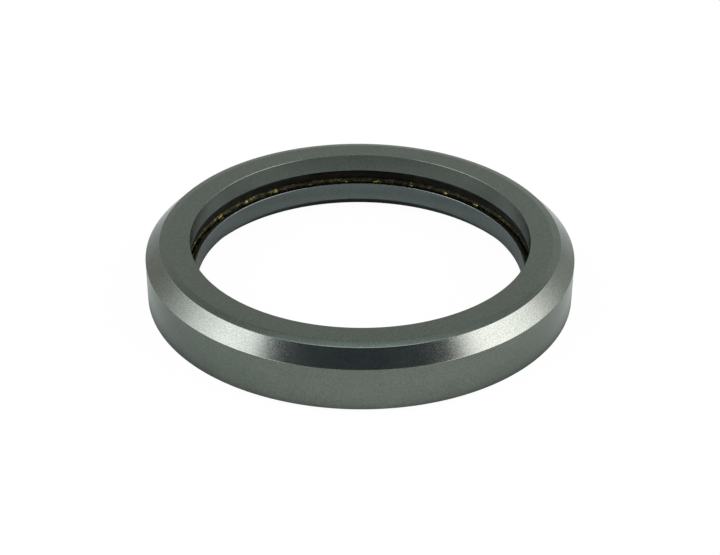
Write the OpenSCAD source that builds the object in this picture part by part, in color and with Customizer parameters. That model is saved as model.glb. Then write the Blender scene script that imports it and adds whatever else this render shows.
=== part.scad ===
// Angular-contact cartridge bearing for the wide end of a bicycle steering column.
// Two hardened rings, a row of caged balls and a lower seal, all turned about the Z axis.
// Origin: on the axis, in the plane of the inner ring's bottom face. Z up, millimetres.

/* [Overall] */
// Outside diameter of the outer ring
outer_d = 52; // [44:0.5:60]
// Radial width of the whole section, from the bore to the outside
section_w = 6; // [5.6:0.1:7]
// Height over both rings
overall_h = 7.5; // [7:0.1:9]
// Width of the small breaks on the ring edges
edge_w = 0.1; // [0.05:0.05:0.25]

/* [Outer ring] */
// Radial width of the seat chamfer round the top
cup_seat_w = 1.75; // [1.3:0.05:2]
// Angle between the seat chamfer and the axis
cup_seat_angle = 45; // [36:1:50]
// Radial width of the shallow relief along the outside of the top face
top_relief_w = 0.9; // [0.6:0.05:1.2]
// Drop of that relief where it meets the seat chamfer
top_relief_drop = 0.2; // [0.05:0.05:0.3]
// Height of the lip that covers the balls from above
lip_h = 2.35; // [2:0.05:2.5]
// How much wider in radius the lip is than the inner ring's bore
lip_set_back = 0.6; // [0.4:0.05:0.8]
// How much of the inner ring's shoulder height the skirt covers, as a share
skirt_share = 0.78; // [0.65:0.01:0.85]
// How far the skirt's snap shoulder reaches in past the widest point of the balls
snap_reach = 0.07; // [0.03:0.01:0.1]

/* [Inner ring] */
// Radial width of the seat chamfer round the bottom
race_seat_w = 1.2; // [0.9:0.1:1.4]
// Angle between the seat chamfer and the axis
race_seat_angle = 45; // [40:1:50]
// Height of the ring's top face above the ball centres
top_rise = 0.8; // [0.65:0.05:0.9]
// Width of the flat land on the top face
top_land_w = 0.5; // [0.4:0.05:0.6]
// How far the lower shoulder wraps up past the bottom of the balls
shoulder_rise = 0.04; // [0.02:0.01:0.1]
// Radial gap between the shoulder and the outer ring's skirt, which the seal bridges
seal_gap_w = 0.67; // [0.6:0.01:0.75]

/* [Balls and grooves] */
// Ball diameter
ball_d = 3.175; // [2.8:0.025:3.5]
// Least gap between neighbouring balls, which sets how many there are
ball_gap = 1.75; // [1.5:0.05:2.2]
// Angle of the first ball round the axis
first_ball_angle = 6.4; // [0:0.1:12]
// How far the pitch circle lies inside the middle of the section
pitch_set_in = 0.6; // [0.45:0.05:0.7]
// Gap between the top of the balls and the underside of the lip
lip_clear = 0.865; // [0.8:0.005:0.95]
// Slope of the line through a ball's two contact points
contact_angle = 45; // [42:1:48]
// Groove radius as a share of the ball diameter
groove_ratio = 0.525; // [0.52:0.005:0.54]
// Running gap between a ball and each groove along the contact line
ball_clear = 0.02; // [0.01:0.005:0.04]
// Angle above the ball centres at which the outer groove ends
outer_groove_end = 70; // [66:1:76]
// Angle above the ball centres at which the inner groove begins
inner_groove_start = 20; // [12:1:22]

/* [Cage] */
// Radial width of the webs between the balls, as a share of the ball diameter
web_ratio = 0.41; // [0.36:0.01:0.44]
// Reach of the webs below the ball centres, as a share of the ball diameter
web_reach_ratio = 0.38; // [0.34:0.01:0.4]
// Height above the ball centres where the webs slope in to the rim, as a share of the ball diameter
web_slope_ratio = 0.3; // [0.26:0.01:0.32]
// Height of the rim
rim_h = 1; // [0.8:0.05:1.05]
// How much wider in radius the rim is than the lip
rim_set_back = 0.25; // [0.15:0.05:0.35]
// Gap between the rim and the underside of the lip
rim_clear = 0.2; // [0.15:0.05:0.25]
// Gap between the rim and the outer ring's wall behind it
rim_wall_clear = 0.3; // [0.25:0.05:0.4]
// Gap between a ball and its pocket
pocket_clear = 0.1; // [0.06:0.02:0.14]

/* [Seal] */
// Thickness of the seal where the outer ring holds it
seal_t = 0.5; // [0.4:0.05:0.6]
// Height of that part above the outer ring's bottom edge
seal_recess = 0.35; // [0.3:0.05:0.4]
// Depth of the groove in the skirt that holds the seal's bead
seal_bead_w = 0.45; // [0.3:0.05:0.5]
// Thickness of the seal at its running lip
seal_lip_t = 0.3; // [0.2:0.05:0.35]
// How far the running lip hangs below the bead, middle to middle
seal_lip_drop = 0.35; // [0.3:0.05:0.4]
// Gap between the seal and its groove
seal_fit = 0.02; // [0.01:0.01:0.04]
// Gap between the running lip and the inner ring
seal_lip_clear = 0.05; // [0.03:0.01:0.1]

/* [Hidden] */
$fn = 96;
ball_fn = 32;

outer_r = outer_d / 2;
bore_r = outer_r - section_w;
ball_r = ball_d / 2;
pitch_r = outer_r - section_w / 2 - pitch_set_in;
groove_r = groove_ratio * ball_d;
groove_shift = groove_r - ball_r - ball_clear;

lip_r = bore_r + lip_set_back;
lip_z = overall_h - lip_h;
ball_z = lip_z - lip_clear - ball_r;

inner_top_z = ball_z + top_rise;
shoulder_z = ball_z - ball_r + shoulder_rise;
skirt_r = pitch_r + ball_r - snap_reach;
shoulder_r = skirt_r - seal_gap_w;
race_seat_h = race_seat_w / tan(race_seat_angle);

skirt_z = shoulder_z * (1 - skirt_share);
chamfer_r = outer_r - cup_seat_w;
cup_seat_h = cup_seat_w / tan(cup_seat_angle);
rim_wall_r = from_ball(ball_r, outer_groove_end)[0];

web_t = web_ratio * ball_d;
web_outer_r = pitch_r + web_t / 2;
web_slope_z = ball_z + web_slope_ratio * ball_d;
rim_outer_r = rim_wall_r - rim_wall_clear;
rim_inner_r = lip_r + rim_set_back;
rim_top_z = lip_z - rim_clear;

seal_z = skirt_z + seal_recess;
seal_groove_r = skirt_r + seal_bead_w;
seal_lip_z = seal_z + seal_t / 2 - seal_lip_drop;

ball_count = floor(2 * PI * pitch_r / (ball_d + ball_gap));
ball_step = 360 / ball_count;

ring_grey = "#6c736f";
ball_steel = "#c4c2b4";
cage_black = "#1b1b1a";
seal_black = "#232322";

function ball_name(i) = str("ball_", i < 10 ? "0" : "", i);
function ball_turn(i) = first_ball_angle + (i - 1) * ball_step;

// A point of the section, given from a ball's centre by distance and slope
function from_ball(distance, slope) = [
    pitch_r + distance * cos(slope),
    ball_z + distance * sin(slope)
];

// Section of the outer ring: lip, wall and skirt, less the groove above and outside the balls
module outer_section() {
    difference() {
        polygon([
            [lip_r + edge_w, overall_h],
            [chamfer_r - top_relief_w, overall_h],
            [chamfer_r, overall_h - top_relief_drop],
            [outer_r, overall_h - top_relief_drop - cup_seat_h],
            [outer_r, skirt_z + edge_w],
            [outer_r - edge_w, skirt_z],
            [skirt_r, skirt_z],
            [skirt_r, seal_z - seal_fit],
            [seal_groove_r, seal_z - seal_fit],
            [seal_groove_r, seal_z + seal_t + seal_fit],
            [skirt_r, seal_z + seal_t + seal_fit],
            [skirt_r, ball_z],
            from_ball(ball_r, outer_groove_end),
            [rim_wall_r, lip_z],
            [lip_r + edge_w, lip_z],
            [lip_r, lip_z + edge_w],
            [lip_r, overall_h - edge_w]
        ]);
        translate(from_ball(-groove_shift, contact_angle))
            circle(groove_r);
    }
}

// Turned ring that carries the upper seat chamfer and covers the balls
module outer_ring() {
    color(ring_grey)
        rotate_extrude()
            outer_section();
}

// Section of the inner ring: bore wall and flange, less the groove inside and below the balls
module inner_section() {
    difference() {
        polygon([
            [bore_r, race_seat_h],
            [bore_r, inner_top_z - edge_w],
            [bore_r + edge_w, inner_top_z],
            [bore_r + top_land_w, inner_top_z],
            from_ball(ball_r, 180 - inner_groove_start),
            [pitch_r, shoulder_z],
            [shoulder_r - edge_w, shoulder_z],
            [shoulder_r, shoulder_z - edge_w],
            [shoulder_r, edge_w],
            [shoulder_r - edge_w, 0],
            [bore_r + race_seat_w, 0]
        ]);
        translate(from_ball(groove_shift, contact_angle))
            circle(groove_r);
    }
}

// Turned ring that carries the lower seat chamfer and the bore
module inner_ring() {
    color(ring_grey)
        rotate_extrude()
            inner_section();
}

// One ball of the row, counted round the axis from the first
module ball(i) {
    color(ball_steel)
        rotate([0, 0, ball_turn(i)])
            translate([pitch_r, 0, ball_z])
                sphere(ball_r, $fn = ball_fn);
}

// Section of the cage: the rim above the balls and the web that hangs from it between them
module cage_section() {
    polygon([
        [rim_inner_r, rim_top_z],
        [rim_inner_r, rim_top_z - rim_h],
        [pitch_r - web_t / 2, rim_top_z - rim_h],
        [pitch_r - web_t / 2, ball_z - web_reach_ratio * ball_d],
        [web_outer_r, ball_z - web_reach_ratio * ball_d],
        [web_outer_r, web_slope_z],
        [rim_outer_r, web_slope_z + web_outer_r - rim_outer_r],
        [rim_outer_r, rim_top_z]
    ]);
}

// Moulded cage, with a round pocket for each ball that opens downwards
module cage() {
    color(cage_black)
        difference() {
            rotate_extrude()
                cage_section();
            for (i = [1:ball_count])
                rotate([0, 0, ball_turn(i)])
                    translate([pitch_r, 0, ball_z])
                        sphere(ball_r + pocket_clear, $fn = ball_fn);
        }
}

// Section of the seal: a bead held in the skirt's groove and a lip that hangs to the inner ring
module seal_section() {
    bead_r = seal_groove_r - seal_fit;
    neck_r = skirt_r - seal_fit;
    lip_end_r = shoulder_r + seal_lip_clear;
    polygon([
        [bead_r, seal_z],
        [bead_r, seal_z + seal_t],
        [neck_r, seal_z + seal_t],
        [lip_end_r, seal_lip_z + seal_lip_t / 2],
        [lip_end_r, seal_lip_z - seal_lip_t / 2],
        [neck_r, seal_z]
    ]);
}

// Rubber seal that closes the gap between the rings from below
module lower_seal() {
    color(seal_black)
        rotate_extrude()
            seal_section();
}

outer_ring();
inner_ring();
cage();
lower_seal();
for (i = [1:ball_count])
    ball(i);
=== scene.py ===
# An angular-contact cartridge bearing for a bicycle's steering column, lying on a pale table.
# The sections follow the bearing as it is put together: inner ring, balls, cage, grease, seal and
# outer ring, and then come the table, the studio and the camera.
import math

import bpy
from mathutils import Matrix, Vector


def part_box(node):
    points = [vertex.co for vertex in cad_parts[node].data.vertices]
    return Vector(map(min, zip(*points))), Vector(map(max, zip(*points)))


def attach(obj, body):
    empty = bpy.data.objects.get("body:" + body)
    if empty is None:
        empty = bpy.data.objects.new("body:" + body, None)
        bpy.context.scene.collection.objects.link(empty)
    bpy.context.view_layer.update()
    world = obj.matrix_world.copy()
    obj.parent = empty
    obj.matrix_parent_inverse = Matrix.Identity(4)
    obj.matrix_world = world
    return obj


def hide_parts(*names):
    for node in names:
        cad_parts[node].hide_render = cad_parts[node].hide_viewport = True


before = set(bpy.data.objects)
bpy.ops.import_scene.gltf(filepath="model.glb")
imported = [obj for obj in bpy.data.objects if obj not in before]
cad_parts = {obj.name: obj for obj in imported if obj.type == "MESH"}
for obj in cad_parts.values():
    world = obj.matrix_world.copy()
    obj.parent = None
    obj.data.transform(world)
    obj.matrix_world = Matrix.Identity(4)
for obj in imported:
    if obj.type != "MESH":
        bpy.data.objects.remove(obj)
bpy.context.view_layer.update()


# Inner ring: bearing steel, turned, hardened and ground, with a 45 degree seat chamfer under its
# bore. Its section is drawn corner by corner in millimetres and then turned round the axis.
MM = 1e-3
FULL_TURN = 2 * math.pi


def pick(piece):
    """Selects this piece alone and makes it the active one."""
    bpy.ops.object.select_all(action="DESELECT")
    piece.select_set(True)
    bpy.context.view_layer.objects.active = piece


def draw_section(corners):
    """Draws the section's outline through these (radius, height) corners in mm and fills it."""
    bpy.ops.object.select_all(action="DESELECT")
    bpy.ops.mesh.primitive_plane_add(size=1, location=(0, 0, 0))
    bpy.ops.object.mode_set(mode="EDIT")
    bpy.ops.mesh.select_all(action="SELECT")
    bpy.ops.mesh.merge(type="CENTER")
    bpy.ops.transform.translate(value=(corners[0][0], 0, corners[0][1]))
    for here, there in zip(corners, corners[1:]):
        step = (there[0] - here[0], 0, there[1] - here[1])
        bpy.ops.mesh.extrude_vertices_move(TRANSFORM_OT_translate={"value": step})
    bpy.ops.mesh.select_all(action="SELECT")
    bpy.ops.mesh.edge_face_add()
    bpy.ops.object.mode_set(mode="OBJECT")
    return bpy.context.object


def round_corners(piece, corners, radius, segments=4):
    """Rounds the section's corners that lie at these places, to the micron."""
    micron = 0.001
    bpy.ops.object.mode_set(mode="EDIT")
    bpy.ops.mesh.select_mode(type="VERT")
    bpy.ops.mesh.select_all(action="DESELECT")
    bpy.ops.object.mode_set(mode="OBJECT")
    for point in piece.data.vertices:
        point.select = any(
            math.hypot(point.co.x - r, point.co.z - z) < micron for r, z in corners
        )
    bpy.ops.object.mode_set(mode="EDIT")
    bpy.ops.mesh.bevel(offset=radius, segments=segments, affect="VERTICES")
    bpy.ops.object.mode_set(mode="OBJECT")


def turn_section(piece, name, steps, turn=FULL_TURN):
    """Turns the section round the axis, by a full turn or a share of it, and makes mm metres."""
    bpy.ops.object.mode_set(mode="EDIT")
    bpy.ops.mesh.select_all(action="SELECT")
    if turn == FULL_TURN:
        bpy.ops.mesh.delete(type="ONLY_FACE")
    bpy.ops.mesh.select_all(action="SELECT")
    bpy.ops.mesh.spin(steps=steps, angle=turn, center=(0, 0, 0), axis=(0, 0, 1))
    bpy.ops.mesh.select_all(action="SELECT")
    bpy.ops.mesh.remove_doubles(threshold=1e-4)
    bpy.ops.mesh.normals_make_consistent(inside=False)
    bpy.ops.transform.resize(value=(MM, MM, MM), center_override=(0, 0, 0))
    bpy.ops.object.mode_set(mode="OBJECT")
    piece.name = piece.data.name = name


def true_flats(piece):
    """Shades the piece smooth, with its wide faces left flat."""
    pick(piece)
    bpy.ops.object.shade_smooth()
    bpy.ops.object.modifier_add(type="WEIGHTED_NORMAL")
    bpy.ops.object.modifier_apply(modifier=piece.modifiers[0].name)


def arc(centre, radius, start, end, count):
    """Points along a groove's arc, between two angles in degrees."""
    turns = [math.radians(start + (end - start) * i / count) for i in range(count + 1)]
    return [(centre[0] + radius * math.cos(a), centre[1] + radius * math.sin(a)) for a in turns]


groove_radius = 1.6669
edge_round = 0.06
inner_edges = [
    (20.0, 1.2), (20.0, 3.4975), (20.5, 3.4975), (23.2475, 1.15), (23.2475, 0.0), (21.2, 0.0),
]
inner_groove = arc((22.442, 2.7395), groove_radius, 161.63, 287.5, 20)
inner_ring = draw_section(inner_edges[:3] + inner_groove + inner_edges[3:])
round_corners(inner_ring, inner_edges, edge_round)
turn_section(inner_ring, "inner_ring_turned", 360)
true_flats(inner_ring)


class Sum:
    """One output of a material's nodes, or of the world's. Sums written on it add Math nodes."""

    def __init__(self, tree, socket=None):
        self.tree = tree
        self.socket = socket

    def node(self, kind, settings=None, inputs=None, out=0):
        """Adds a node, sets it up, feeds it, and gives back one of its outputs."""
        made = self.tree.nodes.new(kind)
        for name, value in (settings or {}).items():
            if name == "stops":
                while len(made.color_ramp.elements) < len(value):
                    made.color_ramp.elements.new(0.5)
                for stop, (place, colour) in zip(made.color_ramp.elements, value):
                    stop.position = place
                    shade = colour if isinstance(colour, tuple) else (colour, colour, colour)
                    stop.color = (*shade, 1)
            else:
                setattr(made, name, value)
        for key, value in (inputs or {}).items():
            if isinstance(value, Sum):
                self.tree.links.new(value.socket, made.inputs[key])
            else:
                made.inputs[key].default_value = value
        return Sum(self.tree, made.outputs[out])

    def maths(self, operation, *values):
        return self.node("ShaderNodeMath", {"operation": operation}, dict(enumerate(values)))

    def vector(self, operation, inputs, out=0):
        return self.node("ShaderNodeVectorMath", {"operation": operation}, inputs, out)

    def __add__(self, other):
        return self.maths("ADD", self, other)

    def __radd__(self, other):
        return self.maths("ADD", other, self)

    def __sub__(self, other):
        return self.maths("SUBTRACT", self, other)

    def __rsub__(self, other):
        return self.maths("SUBTRACT", other, self)

    def __mul__(self, other):
        return self.maths("MULTIPLY", self, other)

    def __rmul__(self, other):
        return self.maths("MULTIPLY", other, self)

    def __truediv__(self, other):
        return self.maths("DIVIDE", self, other)

    def __pow__(self, other):
        return self.maths("POWER", self, other)

    def part(self, axis):
        """One coordinate of this vector: 0 for X, 1 for Y, 2 for Z."""
        return self.node("ShaderNodeSeparateXYZ", None, {0: self}, out=axis)

    def ease(self, low, high, to_low=0.0, to_high=1.0):
        """Runs smoothly from to_low to to_high as this value goes from low to high."""
        inputs = {0: self, 1: low, 2: high, 3: to_low, 4: to_high}
        return self.node("ShaderNodeMapRange", {"interpolation_type": "SMOOTHSTEP"}, inputs)

    def ramp(self, *stops):
        """Runs along these (place, colour or grey) stops as this value goes from 0 to 1."""
        return self.node("ShaderNodeValToRGB", {"stops": stops}, {0: self})

    def blend(self, first, second):
        """Goes from the first colour to the second as this value goes from 0 to 1."""
        inputs = {0: self, 6: first, 7: second}
        return self.node("ShaderNodeMix", {"data_type": "RGBA"}, inputs, out=2)

    def bump(self, strength, depth):
        """Makes this height a normal, with the depth in metres that a height of 1 stands for."""
        return self.node("ShaderNodeBump", None, {0: strength, 1: depth, "Height": self})

    def object_place(self):
        """The place on the piece, in metres from the part's origin."""
        return self.node("ShaderNodeTexCoord", out=3)

    def speckle(self, scale, detail=2.0, offset=0.0):
        """Noise in space, with a scale in grains per metre."""
        place = self.object_place()
        place = place.node("ShaderNodeMapping", None, {0: place, 1: (offset, offset, offset)})
        return place.node("ShaderNodeTexNoise", None, {0: place, 2: scale, 3: detail})

    def round_lines(self, pitch, length, detail=2.0):
        """Lines round the Z axis, with their pitch across and their length along, in metres."""
        mean_radius = 0.023
        place = self.object_place()
        flat = place.vector("MULTIPLY", {0: place, 1: (1, 1, 0)})
        radius = flat.vector("LENGTH", {0: flat}, out=1)
        around = flat.vector("NORMALIZE", {0: flat})
        stretch = mean_radius / length
        spot = place.node("ShaderNodeCombineXYZ", None, {
            0: around.part(0) * stretch, 1: around.part(1) * stretch, 2: place.part(2) / pitch,
        })
        return spot.node(
            "ShaderNodeTexNoise", {"noise_dimensions": "4D"},
            {0: spot, 1: radius / pitch, 2: 1.0, 3: detail},
        )

    def finish(self, **surface):
        """Ends the material in a Principled surface, its sockets named with _ for spaces."""
        inputs = {name.replace("_", " "): value for name, value in surface.items()}
        self.node("ShaderNodeBsdfPrincipled", None, inputs).close()

    def close(self, output="ShaderNodeOutputMaterial"):
        """Makes this shader the one that the material, or the world, shows."""
        end = self.tree.nodes.new(output)
        self.tree.links.new(self.socket, end.inputs[0])


def new_finish(name, piece):
    """An empty material on this piece, ready for its nodes."""
    material = bpy.data.materials.new(name)
    material.use_nodes = True
    material.node_tree.nodes.clear()
    piece.data.materials.clear()
    piece.data.materials.append(material)
    return Sum(material.node_tree)


def ground_steel(name, piece, light, dark, rough, grain):
    """Ground bearing steel: a satin grain, faint clouding and very fine lines round the axis."""
    steel = new_finish(name, piece)
    fine = steel.round_lines(pitch=0.0001, length=0.004, detail=3.0)
    cloud = steel.speckle(300.0, detail=4.0)
    grains = steel.speckle(6200.0, offset=0.3)
    colour = (0.14 * cloud + 0.74 * grains + 0.12 * fine).ease(0.385, 0.615).blend(dark, light)
    height = 0.15 * fine + grain * grains
    steel.finish(
        Base_Color=colour,
        Metallic=1.0,
        Roughness=rough + 0.10 * (grains - 0.5) + 0.06 * (cloud - 0.5),
        Normal=height.bump(strength=0.5, depth=0.000006),
    )


ground_steel(
    "inner_ring_steel", inner_ring,
    light=(0.166, 0.190, 0.186, 1), dark=(0.133, 0.153, 0.150, 1), rough=0.24, grain=0.3,
)
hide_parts("inner_ring")
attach(inner_ring, "inner_ring_body")


# Balls: polished chrome steel, all alike, wet with yellow grease. One is rounded from a cube
# whose faces are divided evenly, and the others are copies of it, each on its own body.
ball_radius = 1.5875
balls = sorted(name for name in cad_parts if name.startswith("ball_"))
bpy.ops.object.select_all(action="DESELECT")
bpy.ops.mesh.primitive_cube_add(size=2, location=(0, 0, 0))
bpy.ops.object.mode_set(mode="EDIT")
bpy.ops.mesh.select_all(action="SELECT")
bpy.ops.mesh.subdivide(number_cuts=11)
bpy.ops.transform.tosphere(value=1)
bpy.ops.object.mode_set(mode="OBJECT")
first_ball = bpy.context.object
to_size = ball_radius * MM / first_ball.data.vertices[0].co.length
bpy.ops.object.mode_set(mode="EDIT")
bpy.ops.transform.resize(value=(to_size, to_size, to_size), center_override=(0, 0, 0))
bpy.ops.object.mode_set(mode="OBJECT")
bpy.ops.object.shade_smooth()

wet_steel = new_finish("greased_ball_steel", first_ball)
smear = wet_steel.speckle(1400.0, detail=3.0, offset=0.1)
drop = wet_steel.speckle(4200.0, offset=0.7)
thickness = wet_steel.speckle(150.0, detail=1.0, offset=0.5)
oily = (0.45 * smear + 0.55 * thickness).ease(0.42, 0.58)
film = 0.6 * smear + 0.4 * drop
wet_steel.finish(
    Base_Color=oily.blend((0.130, 0.124, 0.028, 1), (0.024, 0.023, 0.006, 1)),
    Metallic=1.0,
    Roughness=0.09 + 0.14 * oily,
    Coat_Weight=0.1 * oily,
    Coat_Roughness=0.15,
    Normal=film.bump(strength=1.0, depth=0.00007),
)
for name in balls:
    low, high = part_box(name)
    pick(first_ball)
    bpy.ops.object.duplicate()
    ball = bpy.context.object
    ball.name = ball.data.name = "greased_" + name
    ball.location = (low + high) / 2
    bpy.ops.object.transform_apply(location=True, rotation=False, scale=False)
    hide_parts(name)
    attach(ball, name + "_body")
bpy.data.objects.remove(first_ball)


# Cage: black nylon, moulded in one piece, with a rim over the balls and a web between each two.
# One pocket's share is turned and hollowed by a ball-shaped cutter, then set round the ring.
share = FULL_TURN / len(balls)
pocket_clear = 0.1
rim_top, rim_bottom = 4.95, 3.95
cage_corners = [
    (20.85, rim_top), (20.85, rim_bottom), (21.749, rim_bottom), (21.749, 1.491),
    (23.051, 1.491), (23.051, 3.65), (22.643, 4.058), (22.643, rim_top),
]
cage = draw_section(cage_corners)
round_corners(cage, cage_corners[:2] + cage_corners[6:], 0.12)
round_corners(cage, cage_corners[3:6], 0.10, segments=3)
turn_section(cage, "moulded_cage", 16, share)
low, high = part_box(balls[0])
middle = (low + high) / 2
# The share was turned from X towards -Y, so half a share more brings its middle to the ball.
cage.rotation_euler = (0, 0, math.atan2(middle.y, middle.x) + share / 2)
bpy.ops.object.transform_apply(location=False, rotation=True, scale=False)
bpy.ops.object.select_all(action="DESELECT")
bpy.ops.mesh.primitive_uv_sphere_add(
    segments=64, ring_count=32, radius=(ball_radius + pocket_clear) * MM, location=middle
)
cutter = bpy.context.object
pick(cage)
hollow = cage.modifiers.new("pocket", "BOOLEAN")
hollow.operation = "DIFFERENCE"
hollow.solver = "EXACT"
hollow.object = cutter
bpy.ops.object.modifier_apply(modifier="pocket")
bpy.data.objects.remove(cutter)
other_shares = []
for i in range(1, len(balls)):
    pick(cage)
    bpy.ops.object.duplicate()
    other = bpy.context.object
    other.rotation_euler = (0, 0, i * share)
    bpy.ops.object.transform_apply(location=False, rotation=True, scale=False)
    other_shares.append(other)
pick(cage)
for other in other_shares:
    other.select_set(True)
bpy.ops.object.join()
cage.name = cage.data.name = "moulded_cage"
bpy.ops.object.mode_set(mode="EDIT")
bpy.ops.mesh.select_all(action="SELECT")
bpy.ops.mesh.remove_doubles(threshold=0.002 * MM)
bpy.ops.mesh.select_all(action="DESELECT")
bpy.ops.mesh.select_interior_faces()
bpy.ops.mesh.delete(type="FACE")
bpy.ops.mesh.select_all(action="SELECT")
bpy.ops.mesh.normals_make_consistent(inside=False)
bpy.ops.object.mode_set(mode="OBJECT")
bpy.ops.object.shade_smooth_by_angle(angle=math.radians(35))

nylon = new_finish("black_nylon", cage)
smooth_patches = nylon.speckle(700.0, detail=3.0)
moulded = nylon.speckle(6000.0, offset=0.4)
pitted = 0.7 * moulded + 0.3 * smooth_patches
black, oily_black = (0.0022, 0.0022, 0.0020, 1), (0.008, 0.0065, 0.004, 1)
nylon.finish(
    Base_Color=smooth_patches.ease(0.4, 0.7).blend(black, oily_black),
    Roughness=0.36 + 0.2 * (smooth_patches - 0.5),
    Specular_IOR_Level=0.08,
    Normal=pitted.bump(strength=0.4, depth=0.00001),
)
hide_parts("cage")
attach(cage, "cage_body")


# Grease: yellow lithium grease, pressed in between the balls under the cage's rim. It is a soft
# bead turned round the axis, made lumpy, and it goes round with the cage.
grease_corners = [
    (21.48, 3.955), (21.33, 3.89), (21.19, 3.79), (21.075, 3.66), (20.99, 3.515), (20.965, 3.38),
    (21.0, 3.26), (21.04, 3.12), (21.10, 2.95), (21.5, 2.90), (21.8, 3.2), (21.8, 3.7),
]
grease = draw_section(grease_corners)
turn_section(grease, "grease_bead", 1080)
lumps = bpy.data.textures.new("grease_lumps", "CLOUDS")
lumps.noise_scale = 0.5 * MM
lumps.noise_depth = 3
swollen = grease.modifiers.new("lumps", "DISPLACE")
swollen.texture = lumps
swollen.texture_coords = "LOCAL"
swollen.strength = 0.3 * MM
swollen.mid_level = 0.65
pick(grease)
bpy.ops.object.modifier_apply(modifier="lumps")
bpy.ops.object.shade_smooth()

fat = new_finish("yellow_grease", grease)
thick = fat.speckle(1500.0, detail=3.0)
slick = fat.speckle(5200.0, detail=3.0, offset=0.6)
wrinkles = 0.5 * thick + 0.5 * slick
# The grease is paler on the left and darker towards the right.
darker_to_right = fat.object_place().part(0).ease(-0.018, 0.004, -0.03, 0.05)
fat.finish(
    Base_Color=(wrinkles - darker_to_right).ramp(
        (0.42, (0.013, 0.0125, 0.007)), (0.54, (0.034, 0.034, 0.016)), (0.66, (0.16, 0.158, 0.055))
    ),
    Roughness=0.42 + 0.2 * slick,
    Specular_IOR_Level=0.06,
    Normal=wrinkles.bump(strength=0.9, depth=0.00012),
)
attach(grease, "cage_body")


# Lower seal: black nitrile rubber, moulded. Its bead is pressed into the outer ring's groove and
# its lip runs round the inner ring's flange.
seal_corners = [
    (24.3475, 0.603), (24.3475, 1.103), (23.8975, 1.103),
    (23.2975, 0.653), (23.2975, 0.353), (23.8975, 0.603),
]
seal = draw_section(seal_corners)
round_corners(seal, seal_corners, 0.08, segments=3)
turn_section(seal, "moulded_seal", 240)
true_flats(seal)

rubber = new_finish("black_rubber", seal)
bloom = rubber.speckle(420.0, detail=3.0)
skin = rubber.speckle(8000.0, offset=0.2)
pores = 0.5 * skin + 0.5 * rubber.round_lines(pitch=0.00012, length=0.008)
rubber.finish(
    Base_Color=bloom.ease(0.35, 0.65).blend((0.012, 0.012, 0.012, 1), (0.026, 0.026, 0.025, 1)),
    Roughness=0.5 + 0.2 * bloom,
    Normal=pores.bump(strength=0.4, depth=0.00001),
)
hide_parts("lower_seal")
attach(seal, "outer_ring_body")


# Outer ring: bearing steel, turned, hardened and ground. The wide 45 degree chamfer seats in the
# frame, a shallow relief runs along the outside of the top face, and the lip covers the balls.
outer_edges = [
    (23.35, 7.5), (24.25, 7.3), (26.0, 5.55), (26.0, 0.253),
    (23.9175, 0.253), (23.9175, 0.583), (24.3675, 0.583), (24.3675, 1.123), (23.9175, 1.123),
    (22.943, 5.15), (20.6, 5.15), (20.6, 7.5),
]
outer_groove = arc((22.358, 2.6555), groove_radius, -20.68, 69.45, 14)
outer_ring = draw_section(outer_edges[:9] + outer_groove + outer_edges[9:])
seat_foot = outer_edges[2:3]
round_corners(outer_ring, seat_foot, 0.03)
round_corners(outer_ring, outer_edges[:2] + outer_edges[3:], edge_round)
turn_section(outer_ring, "outer_ring_turned", 384)
true_flats(outer_ring)
ground_steel(
    "outer_ring_steel", outer_ring,
    light=(0.163, 0.181, 0.161, 1), dark=(0.121, 0.135, 0.120, 1), rough=0.21, grain=0.22,
)
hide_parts("outer_ring")
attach(outer_ring, "outer_ring_body")


# Table: a wide matt board under the bearing. The camera sees it white, with the bearing's soft
# shadow.
# The steel reflects painted shade on it instead: grey tones that change with the distance from the
# axis, mostly darker inside the ring, a painted contact shadow under it, and a painted lighter
# right side.
bpy.ops.object.select_all(action="DESELECT")
bpy.ops.mesh.primitive_circle_add(
    vertices=96, radius=3.0, fill_type="NGON", location=(0, 0, -0.05 * MM)
)
table = bpy.context.object
table.name = table.data.name = "table_top"
board = new_finish("table_white", table)
camera_ray = board.node("ShaderNodeLightPath", out=0)
place = board.object_place()
from_axis = place.vector("LENGTH", {0: place}, out=1)
# The painted shade tones, as (share of their reach, grey), run outwards from the axis and are
# slightly green. They are darkest from about 20 to 26 mm, a painted shadow under the ring.
reach_of_tones = 0.05
painted_shade_tones = [
    (0.0, 0.36), (0.176, 0.38), (0.20, 0.50), (0.23, 0.54), (0.262, 0.62), (0.295, 0.56),
    (0.314, 0.41), (0.325, 0.52), (0.336, 0.68), (0.35, 0.76), (0.362, 0.68), (0.375, 0.40),
    (0.41, 0.21), (0.50, 0.14), (0.545, 0.78), (0.62, 0.78), (1.0, 0.53),
]
painted_shade_greys = [(spot, (0.93 * grey, grey, 0.955 * grey)) for spot, grey in painted_shade_tones]
painted_shade_tone = (from_axis * (1 / reach_of_tones)).ramp(*painted_shade_greys)
# Painted light: the board's reflected tones are lighter on the right than on the left.
painted_light_right = place.part(0).ease(-0.06, 0.06, 0.92, 1.08)
painted_shade_tone = painted_shade_tone.vector("SCALE", {0: painted_shade_tone, "Scale": painted_light_right})
pale = camera_ray.blend(painted_shade_tone, (0.92, 0.92, 0.92, 1))
matt = board.node("ShaderNodeBsdfDiffuse", None, {0: pale})
white = board.node("ShaderNodeEmission", None, {0: (1, 1, 1, 1), 1: 1.0})
whiteness = 0.97
board.node("ShaderNodeMixShader", None, {0: camera_ray * whiteness, 1: matt, 2: white}).close()


# Studio: a pale room with a tall soft panel on each side and a dark gap between them above the
# camera, which the polished chamfer shows. A direction in it has its parts right, back and up.
world = bpy.data.worlds.new("studio")
bpy.context.scene.world = world
world.use_nodes = True
world.node_tree.nodes.clear()
room = Sum(world.node_tree)
direction = room.node("ShaderNodeTexCoord", out=0)
right, back, up = direction.part(0), direction.part(1), direction.part(2)
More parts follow.
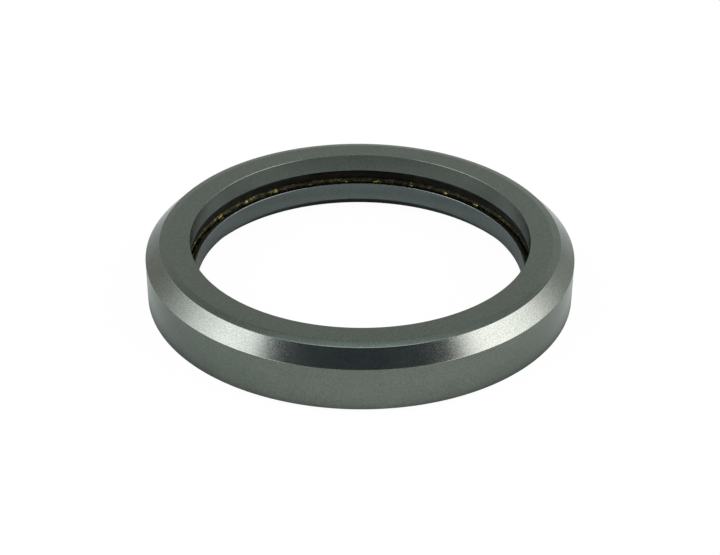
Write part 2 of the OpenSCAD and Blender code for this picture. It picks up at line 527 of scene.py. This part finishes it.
# Toward points at the middle of the dark gap, and past is square to it and to right.
toward = 0.829 * up - 0.559 * back
past = 0.559 * up + 0.829 * back
dome = up.ramp(
    (0.0, (0.40, 0.42, 0.40)), (0.08, (0.44, 0.46, 0.44)), (0.14, (0.565, 0.59, 0.565)),
    (0.21, (0.60, 0.63, 0.60)), (0.30, (0.57, 0.60, 0.57)), (0.40, (0.54, 0.57, 0.54)),
    (0.46, (0.585, 0.61, 0.585)), (0.55, (0.68, 0.71, 0.68)), (0.59, (0.57, 0.60, 0.57)),
    (0.63, (0.44, 0.46, 0.44)), (0.72, (0.49, 0.52, 0.49)),
    (0.80, (0.49, 0.54, 0.52)), (0.85, (0.58, 0.67, 0.67)), (0.88, (0.71, 0.82, 0.83)),
    (1.0, (1.0, 1.0, 1.0)),
)
bright_side = right.ease(0.05, 0.28, 1.0, 1.2)
ceiling = up.ease(0.88, 0.99)
side = (right.maths("ABSOLUTE", right) - 0.06 * right).ease(0.53, 0.67)
reach = (toward + 0.3) / 1.3
left_panel = reach.ramp(
    (0.0, 0.015), (0.08, 0.005), (0.171, 0.026), (0.258, 0.072), (0.35, 0.186), (0.436, 0.287),
    (0.528, 0.517), (0.618, 0.68), (0.697, 0.837), (0.772, 0.78), (1.0, 0.80),
)
right_panel = reach.ramp(
    (0.0, 0.035), (0.081, 0.02), (0.171, 0.064), (0.258, 0.194), (0.35, 0.383), (0.436, 0.62),
    (0.528, 0.766), (0.618, 0.846), (0.697, 0.961), (0.772, 0.90), (1.0, 0.90),
)
tan_patch = ((right + 0.73) ** 2.0 + (up - 0.13) ** 2.0).ease(0.0, 0.03, 1.0, 0.0)
on_right = right.ease(-0.1, 0.1)
panel_strength = 5.9
panels = panel_strength * side * (left_panel + on_right * (right_panel - left_panel))
gap_oval = (right / 0.64) ** 2.0 + (past / 0.38) ** 2.0
gap = gap_oval.ease(0.85, 1.15, 1.0, 0.0) * toward.ease(0.2, 0.4)
lamps = room.node("ShaderNodeCombineXYZ", None, {
    0: panels * (1.05 + 0.04 * on_right) + ceiling * 1.3 + 0.03 * tan_patch,
    1: panels + ceiling * 1.35 - 0.01 * tan_patch,
    2: panels * (1.06 - 0.02 * on_right) + ceiling * 1.4 - 0.05 * tan_patch,
})
side_gain = room.node("ShaderNodeCombineXYZ", None, {axis: bright_side for axis in range(3)})
glow = dome.vector("MULTIPLY_ADD", {0: dome, 1: side_gain, 2: lamps})
light = gap.blend(glow, (0.105, 0.130, 0.155, 1))
camera_ray = room.node("ShaderNodeLightPath", out=0)
glossy_ray = room.node("ShaderNodeLightPath", out=3)
seen = camera_ray.blend(light, (1, 1, 1, 1))
strength = 0.75 + 0.25 * (camera_ray + glossy_ray)
room.node("ShaderNodeBackground", None, {0: seen, 1: strength}).close("ShaderNodeOutputWorld")
world.cycles.sampling_method = "MANUAL"
world.cycles.sample_map_resolution = 1024


# Camera: level with the eye of someone looking down on the table at a slant, close to the ring.
tilt = math.radians(31.934)
roll = math.radians(0.375)
distance = 0.19895
aim_height = 0.8 * MM
bpy.ops.object.camera_add(
    location=(0, -distance * math.cos(tilt), aim_height + distance * math.sin(tilt)),
    rotation=(math.pi / 2 - tilt, 0, 0),
)
camera = bpy.context.object
camera.rotation_euler.rotate_axis("Z", roll)
camera.data.lens = 80.553
camera.data.sensor_width = 36
camera.data.sensor_fit = "HORIZONTAL"
camera.data.clip_start = 0.01
camera.data.shift_x = 0.00019
camera.data.shift_y = 0.00400
bpy.context.scene.camera = camera
bpy.context.scene.view_settings.view_transform = "Standard"
